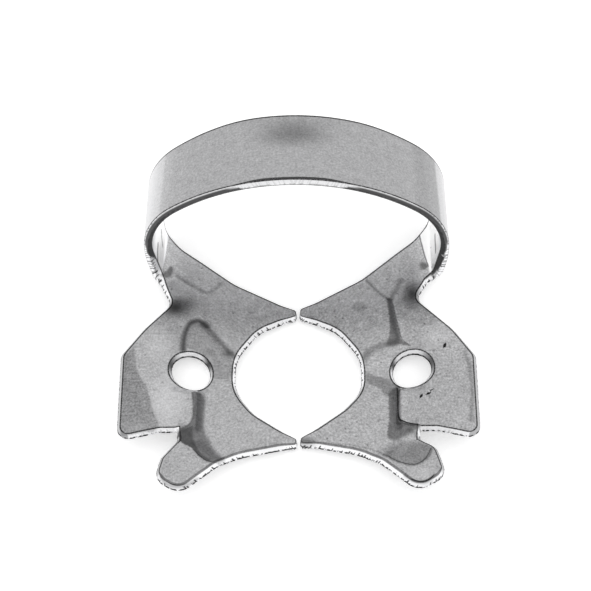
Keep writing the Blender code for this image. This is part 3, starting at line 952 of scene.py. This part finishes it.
def makeClamp():
    allPoints, allFaces, allFlat, allRuns, allPaintedLightAndWear = [], [], [], [], []
    start = 0
    for side in (-1, 1):
        flat, faces, runs = halfClamp(side)
        shade, pale, dent, uneven = paintedLightAndWearFields(side, flat * (side, 1, 1))
        places = bentPlaces(flat)
        places[:, 2] -= dent
        places[:, 0] *= side
        places[:, 0] -= bendSizes["drift"] * np.maximum(places[:, 2], 0.0)
        allPoints.append(places)
        allFlat.append(flat * (side, 1, 1))
        allRuns.append(runs)
        edge = edgeFields(flat * (side, 1, 1), runs[:, 2])
        thinLine, thinLineDark = thinLineFields(flat[:, :2], leftCracksAndReflections if side < 0 else rightCracksAndReflections)
        thinLineDark = thinLineDark * (flat[:, 2] < paintedLightAndWearLook["thinLineDepth"])
        allPaintedLightAndWear.append(np.column_stack([shade, pale, uneven, *edge, thinLine, thinLineDark]))
        allFaces += [tuple(n + start for n in face) for face in faces]
        start += len(flat)
    places = np.vstack(allPoints)
    tilt = np.array(Matrix.Rotation(-bendSizes["restTilt"], 3, "X"))
    places = places @ tilt.T * millimetre
    cadLow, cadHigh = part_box("clamp_body")
    middleY = (places[:, 1].min() + places[:, 1].max()) / 2
    places += (0.0, (cadLow.y + cadHigh.y) / 2 - middleY, cadLow.z - places[:, 2].min())
    mesh = bpy.data.meshes.new("clamp")
    mesh.from_pydata(places.tolist(), [], allFaces)
    # per point: painted shade and highlights, grain, painted edge tones and lines, and the thin lines
    flat, runs, wear = np.vstack(allFlat), np.vstack(allRuns), np.vstack(allPaintedLightAndWear)
    run = runs[:, 1] + np.where(flat[:, 0] < 0, mapSizes["leftRunShift"], 0.0)
    onUpper = rise(flat[:, 2], pittedLook["depth"]) * rise(runs[:, 0], pittedLook["rim"])
    pitted = pittedLook["plain"] + pittedLook["right"] * (flat[:, 0] > 0)
    pitted = pitted + pittedLook["behind"] * (flat[:, 1] > pittedLook["behindFront"])
    pitted = onUpper * pitted * (np.abs(flat[:, 0]) < pittedLook["legStart"])
    pointAttribute(mesh, "rim", runs[:, 0])
    pointAttribute(mesh, "run", run)
    pointAttribute(mesh, "depth", flat[:, 2])
    pointAttribute(mesh, "pitted", pitted)
    names = ("shade", "pale", "uneven", "edgeTone", "stroke", "line", "border", "nose", "thinLine", "thinLineDark")
    for index, name in enumerate(names):
        pointAttribute(mesh, name, wear[:, index])
    corners = np.zeros(len(mesh.loops), int)
    mesh.loops.foreach_get("vertex_index", corners)
    # maps in centimetres: the flat sheet, and the edge as (length along it, depth)
    sideways = flat[:, 0] + np.where(flat[:, 2] > halfSheet, mapSizes["underShift"], 0.0)
    plan = np.column_stack([sideways, flat[:, 1]])
    edge = np.column_stack([run, flat[:, 2]])
    for name, values in (("plan", plan), ("edge", edge)):
        layer = mesh.uv_layers.new(name=name)
        spread = values[corners].astype(np.float32).ravel() * mapSizes["centimetres"]
        layer.data.foreach_set("uv", spread)
    work = bmesh.new()
    work.from_mesh(mesh)
    bmesh.ops.remove_doubles(work, verts=work.verts, dist=meshSizes["weldDistance"])
    bmesh.ops.recalc_face_normals(work, faces=work.faces)
    openEdges = [item for item in work.edges if not item.is_manifold]
    bmesh.ops.triangulate(work, faces=work.faces)
    print("clamp:", len(work.faces), "faces,", len(openEdges), "open edges")
    work.to_mesh(mesh)
    work.free()
    mesh.shade_smooth()
    clamp = bpy.data.objects.new("clamp", mesh)
    bpy.context.scene.collection.objects.link(clamp)
    return clamp


steelLook = {
    "plain": 0.45,
    "dark": 0.05,
    "pale": 1.0,
    "blueness": 1.015,
    "roughness": (0.26, 0.36),
    "roughnessCloud": (0.3, 0.7),
    "edgeRoughness": 0.45,
    "speckleScale": 55.0,
    "speckleDetail": (3.0, 0.7),
    "speckle": 1.5,
    "mottleScale": 14.0,
    "mottleDetail": (4.0, 0.65),
    "mottle": 0.6,
    "pitShade": 0.8,
    "thinLineEdge": (1.25, 0.75),
    "edgeReach": 0.26,
    "edgeBorder": 0.04,
    "strokeTone": 0.1,
    "strokeSlant": 0.45,
    "strokesPerCentimetre": 38.0,
    "strokeWidths": (0.017, 0.34),
    "strokeEdge": 0.05,
    "strokeStarts": (0.008, 0.034),
    "strokeFade": 0.006,
    "lineTone": 0.02,
    "lineEdge": 0.015,
    "lineStart": (0.2, 0.23),
    "lineDetail": (1.0, 0.5),
    "dotScale": 90.0,
    "dotShare": (0.38, 0.55),
    "betweenDots": 0.7,
    "dashScale": 32.0,
    "dashShare": (0.46, 0.54),
    "betweenDashes": 0.1,
    "noseReach": (0.06, 0.03),
    "bumpStrength": 0.12,
    "bumpHeight": 0.00003,
}


class NodeTree:
    # short calls for building a node tree
    def __init__(self, tree):
        self.tree = tree

    def node(self, kind, inputs=None, **settings):
        made = self.tree.nodes.new(kind)
        for name, value in settings.items():
            setattr(made, name, value)
        for name, value in (inputs or {}).items():
            if isinstance(value, bpy.types.NodeSocket):
                self.tree.links.new(value, made.inputs[name])
            else:
                made.inputs[name].default_value = value
        return made

    def math(self, operation, *values):
        return self.node("ShaderNodeMath", dict(enumerate(values)), operation=operation).outputs[0]

    def ramp(self, value, low, high, start=0.0, end=1.0, smooth=False):
        kind = "SMOOTHSTEP" if smooth else "LINEAR"
        inputs = {"Value": value, "From Min": low, "From Max": high, "To Min": start, "To Max": end}
        return self.node("ShaderNodeMapRange", inputs, interpolation_type=kind).outputs["Result"]

    def noise(self, vector, scale, detail, roughness):
        inputs = {"Vector": vector, "Scale": scale, "Detail": detail, "Roughness": roughness}
        return self.node("ShaderNodeTexNoise", inputs).outputs["Fac"]

    def mix(self, share, first, second):
        return self.node("ShaderNodeMix", {0: share, 2: first, 3: second}, data_type="FLOAT").outputs[0]


def steelMaterial():
    material = bpy.data.materials.new("spring steel")
    material.use_nodes = True
    look = steelLook
    tree = NodeTree(material.node_tree)
    shader = material.node_tree.nodes["Principled BSDF"]
    plan = tree.node("ShaderNodeUVMap", uv_map="plan").outputs[0]
    edge = tree.node("ShaderNodeUVMap", uv_map="edge").outputs[0]
    names = ("rim", "shade", "pale", "edgeTone", "stroke", "line", "border", "uneven", "pit", "nose")
    found = {}
    for name in (*names, "thinLine", "thinLineDark"):
        found[name] = tree.node("ShaderNodeAttribute", attribute_name=name).outputs["Fac"]
    rim = found["rim"]
    # fine speckle and slow clouds of the rolled and tumbled faces
    speckle = tree.noise(plan, look["speckleScale"], *look["speckleDetail"])
    mottle = tree.noise(plan, look["mottleScale"], *look["mottleDetail"])
    grain = tree.math("MULTIPLY", tree.math("SUBTRACT", speckle, 0.5), look["speckle"])
    grain = tree.math("MULTIPLY_ADD", grain, found["uneven"], 1.0)
    cloud = tree.math("MULTIPLY", tree.math("SUBTRACT", mottle, 0.5), look["mottle"])
    cloud = tree.math("MULTIPLY_ADD", cloud, found["uneven"], 1.0)
    face = tree.math("MULTIPLY", tree.math("MULTIPLY", grain, cloud), look["plain"])
    # painted highlights and reflections lift the face towards pale; painted shade, with the pits, darkens it
    face = tree.mix(found["pale"], face, look["pale"])
    shade = tree.math("MAXIMUM", found["shade"], tree.math("MULTIPLY", found["pit"], look["pitShade"]))
    face = tree.mix(shade, face, look["dark"])
    thinLine = tree.ramp(tree.math("ABSOLUTE", found["thinLine"]), *look["thinLineEdge"])
    thinLine = tree.math("MULTIPLY", thinLine, found["thinLineDark"])
    face = tree.mix(thinLine, face, look["lineTone"])
    # sheared edge: thin slanting marks of uneven length, each in its own cell along the edge
    parts = tree.node("ShaderNodeSeparateXYZ", {"Vector": edge})
    along, down = parts.outputs["X"], parts.outputs["Y"]
    slanted = tree.math("ADD", along, tree.math("MULTIPLY", down, look["strokeSlant"]))
    inputs = {"W": slanted, "Scale": look["strokesPerCentimetre"]}
    cells = tree.node("ShaderNodeTexVoronoi", inputs, voronoi_dimensions="1D")
    chance = tree.node("ShaderNodeSeparateColor", {"Color": cells.outputs["Color"]})
    wide = tree.ramp(chance.outputs["Red"], 0.0, 1.0, *look["strokeWidths"])
    outside = tree.math("SUBTRACT", cells.outputs["Distance"], wide)
    streak = tree.ramp(outside, look["strokeEdge"], -look["strokeEdge"])
    start = tree.ramp(chance.outputs["Green"], 0.0, 1.0, *look["strokeStarts"])
    below = tree.ramp(tree.math("SUBTRACT", down, start), 0.0, look["strokeFade"])
    streak = tree.math("MULTIPLY", tree.math("MULTIPLY", streak, below), found["stroke"])
    edgeTone = tree.mix(streak, found["edgeTone"], look["strokeTone"])
    # painted reflection: thin dotted dark lines where the edge meets the face and at its nose
    dots = tree.ramp(tree.noise(edge, look["dotScale"], *look["lineDetail"]), *look["dotShare"])
    beyond = tree.math("SUBTRACT", rim, found["line"])
    ridge = tree.ramp(beyond, look["lineEdge"], -look["lineEdge"])
    ridge = tree.math("MULTIPLY", ridge, tree.ramp(rim, *look["lineStart"]))
    ridge = tree.math("MULTIPLY", ridge, found["border"])
    ridge = tree.math("MULTIPLY", ridge, tree.mix(dots, look["betweenDots"], 1.0))
    dashes = tree.ramp(tree.noise(edge, look["dashScale"], *look["lineDetail"]), *look["dashShare"])
    dashes = tree.math("MULTIPLY", tree.mix(dashes, look["betweenDashes"], 1.0), found["nose"])
    dashes = tree.math("MAXIMUM", dashes, tree.math("SUBTRACT", found["nose"], 1.0))
    nose = tree.math("MULTIPLY", tree.ramp(rim, *look["noseReach"]), dashes)
    edgeTone = tree.mix(tree.math("MAXIMUM", nose, shade), edgeTone, look["lineTone"])
    onEdge = tree.ramp(rim, look["edgeReach"], look["edgeReach"] - look["edgeBorder"])
    tone = tree.mix(ridge, tree.mix(onEdge, face, edgeTone), look["lineTone"])
    blue = tree.math("MULTIPLY", tone, look["blueness"])
    colour = tree.node("ShaderNodeCombineColor", {"Red": tone, "Green": tone, "Blue": blue}).outputs[0]
    rough = tree.ramp(mottle, *look["roughnessCloud"], *look["roughness"])
    rough = tree.mix(onEdge, rough, look["edgeRoughness"])
    inputs = {"Height": speckle, "Strength": look["bumpStrength"], "Distance": look["bumpHeight"]}
    bump = tree.node("ShaderNodeBump", inputs).outputs[0]
    links = material.node_tree.links
    links.new(colour, shader.inputs["Base Color"])
    links.new(rough, shader.inputs["Roughness"])
    links.new(bump, shader.inputs["Normal"])
    shader.inputs["Metallic"].default_value = 1.0
    return material


# The marks that repeat, made by geometry nodes: lengths in millimetres, pits to the square millimetre
wearInputs = {
    "Rib Depth": 0.015,
    "Rib Length": 0.3,
    "Pit Depth": 0.03,
    "Pit Size": 0.1,
    "Pit Share": 0.35,
    "Seed": 7,
}
wearShape = {
    "squareMetre": 1e6,  # in square millimetres
    "pitEdge": (1.0, 0.3),
    "ribEdge": (0.4, 0.6),
    "ribReach": (0.24, 0.1),
}


def wearTree(material):
    group = bpy.data.node_groups.new("sheared ribs and pits", "GeometryNodeTree")
    sockets = group.interface
    sockets.new_socket("Geometry", in_out="INPUT", socket_type="NodeSocketGeometry")
    for name, value in wearInputs.items():
        kind = "NodeSocketInt" if isinstance(value, int) else "NodeSocketFloat"
        sockets.new_socket(name, in_out="INPUT", socket_type=kind).default_value = value
    sockets.new_socket("Geometry", in_out="OUTPUT", socket_type="NodeSocketGeometry")
    tree = NodeTree(group)
    given = tree.node("NodeGroupInput").outputs

    def named(name):
        return tree.node("GeometryNodeInputNamedAttribute", {"Name": name}, data_type="FLOAT").outputs[0]

    # pits: points strewn over the rubbed faces, and how near each place is to one of them
    share = tree.math("MULTIPLY", given["Pit Share"], wearShape["squareMetre"])
    share = tree.math("MULTIPLY", share, named("pitted"))
    strewn = tree.node(
        "GeometryNodeDistributePointsOnFaces",
        {"Mesh": given["Geometry"], "Density": share, "Seed": given["Seed"]},
    ).outputs["Points"]
    gap = tree.node("GeometryNodeProximity", {0: strewn}, target_element="POINTS").outputs["Distance"]
    size = tree.math("MULTIPLY", given["Pit Size"], millimetre)
    pit = tree.ramp(tree.math("DIVIDE", gap, size), *wearShape["pitEdge"], smooth=True)
    # ribs: across the sheared edges, one after the other along them
    place = tree.math("DIVIDE", named("run"), given["Rib Length"])
    rib = tree.node("ShaderNodeTexNoise", {"W": place, "Scale": 1.0, "Detail": 0.0}, noise_dimensions="1D")
    rib = tree.ramp(rib.outputs[0], *wearShape["ribEdge"], smooth=True)
    rib = tree.math("MULTIPLY", rib, tree.ramp(named("rim"), *wearShape["ribReach"], smooth=True))
    depth = tree.math("MULTIPLY", pit, given["Pit Depth"])
    depth = tree.math("ADD", depth, tree.math("MULTIPLY", rib, given["Rib Depth"]))
    inwards = tree.math("MULTIPLY", depth, -millimetre)
    normal = tree.node("GeometryNodeInputNormal").outputs[0]
    offset = tree.node("ShaderNodeVectorMath", {0: normal, "Scale": inwards}, operation="SCALE").outputs[0]
    worn = tree.node("GeometryNodeSetPosition", {"Geometry": given["Geometry"], "Offset": offset}).outputs[0]
    stored = tree.node(
        "GeometryNodeStoreNamedAttribute", {"Geometry": worn, "Name": "pit", "Value": pit}, data_type="FLOAT"
    ).outputs[0]
    real = tree.node("GeometryNodeRealizeInstances", {"Geometry": stored}).outputs[0]
    done = tree.node("GeometryNodeSetMaterial", {"Geometry": real, "Material": material}).outputs[0]
    tree.node("NodeGroupOutput", {"Geometry": done})
    return group


def wearClamp(clamp, material):
    modifier = clamp.modifiers.new("wear", "NODES")
    modifier.node_group = wearTree(material)
    for item in modifier.node_group.interface.items_tree:
        if item.in_out == "INPUT" and item.name in wearInputs:
            modifier[item.identifier] = wearInputs[item.name]
    graph = bpy.context.evaluated_depsgraph_get()
    shown = clamp.evaluated_get(graph)
    plain = bpy.data.meshes.new_from_object(shown, preserve_all_data_layers=True, depsgraph=graph)
    clamp.modifiers.remove(modifier)
    clamp.data = plain
    print("wear done:", len(plain.polygons), "faces")


steel = steelMaterial()
clamp = makeClamp()
wearClamp(clamp, steel)
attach(clamp, "root")
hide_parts("clamp_body")

# Floor and world: an even white sky and no lamps
stageLook = {
    "floorSize": 0.5,
    "floorColour": 0.9,
    "floorGlow": 0.4,
    "sky": 1.0,
}


def makeStage():
    size = stageLook["floorSize"]
    mesh = bpy.data.meshes.new("floor")
    corners = [(-size, -size, 0), (size, -size, 0), (size, size, 0), (-size, size, 0)]
    mesh.from_pydata(corners, [], [(0, 1, 2, 3)])
    floor = bpy.data.objects.new("floor", mesh)
    bpy.context.scene.collection.objects.link(floor)
    material = bpy.data.materials.new("floor paper")
    material.use_nodes = True
    tree = NodeTree(material.node_tree)
    shader = material.node_tree.nodes["Principled BSDF"]
    shader.inputs["Base Color"].default_value = (stageLook["floorColour"],) * 3 + (1,)
    shader.inputs["Roughness"].default_value = 1.0
    shader.inputs["Specular IOR Level"].default_value = 0.0
    # white paper behind the object, with its shadow kept
    path = tree.node("ShaderNodeLightPath")
    seen = tree.math("MAXIMUM", path.outputs["Is Camera Ray"], path.outputs["Is Glossy Ray"])
    seen = tree.math("MAXIMUM", seen, path.outputs["Is Transmission Ray"])
    glow = tree.math("MULTIPLY", seen, stageLook["floorGlow"])
    shader.inputs["Emission Color"].default_value = (1, 1, 1, 1)
    material.node_tree.links.new(glow, shader.inputs["Emission Strength"])
    mesh.materials.append(material)
    world = bpy.data.worlds.new("studio")
    bpy.context.scene.world = world
    world.use_nodes = True
    world.node_tree.nodes["Background"].inputs["Color"].default_value = (1, 1, 1, 1)
    world.node_tree.nodes["Background"].inputs["Strength"].default_value = stageLook["sky"]


makeStage()
print("floor and world made")

# Camera of the photograph, in millimetres and degrees of the wings' own plane
cameraLook = {
    "elevation": 57.0,
    "azimuth": 0.6,
    "roll": 0.9,
    "distance": 170.0,
    "pixelsPerMillimetre": 12.4,
    "wingPlaceInPicture": (298.3, 371.0),
    "pictureSize": 591,
    "wingPlace": (0.0, -3.778, 1.846),
    "sensorWidth": 36.0,
    "nearest": 0.01,  # metres
    "furthest": 10.0,
}


def makeCamera():
    look = cameraLook
    elevation, azimuth, roll = (math.radians(look[name]) for name in ("elevation", "azimuth", "roll"))
    level = math.cos(elevation)
    back = Vector((math.sin(azimuth) * level, -math.cos(azimuth) * level, math.sin(elevation)))
    right = Vector((math.cos(azimuth), math.sin(azimuth), 0))
    up = back.cross(right)
    pictureX = right * math.cos(roll) - up * math.sin(roll)
    pictureY = right * math.sin(roll) + up * math.cos(roll)
    focal = look["pixelsPerMillimetre"] * look["distance"]
    aside = look["pictureSize"] / 2 - look["wingPlaceInPicture"][0]
    above = look["wingPlaceInPicture"][1] - look["pictureSize"] / 2
    # turned so that the middle of the picture lies on its axis
    forward = (pictureX * aside / focal + pictureY * above / focal - back).normalized()
    newX = (pictureX - forward * pictureX.dot(forward)).normalized()
    basis = Matrix((newX, newX.cross(forward), -forward)).transposed()
    tilt = Matrix.Rotation(-bendSizes["restTilt"], 3, "X")
    place = (Vector(look["wingPlace"]) + tilt @ back * look["distance"]) * millimetre
    camera = bpy.data.objects.new("camera", bpy.data.cameras.new("camera"))
    bpy.context.scene.collection.objects.link(camera)
    camera.matrix_world = Matrix.Translation(place) @ (tilt @ basis).to_4x4()
    camera.data.sensor_width = look["sensorWidth"]
    camera.data.lens = focal / look["pictureSize"] * look["sensorWidth"]
    camera.data.clip_start = look["nearest"]
    camera.data.clip_end = look["furthest"]
    bpy.context.scene.camera = camera


makeCamera()
print("camera placed")
bpy.context.scene.view_settings.view_transform = "Standard"
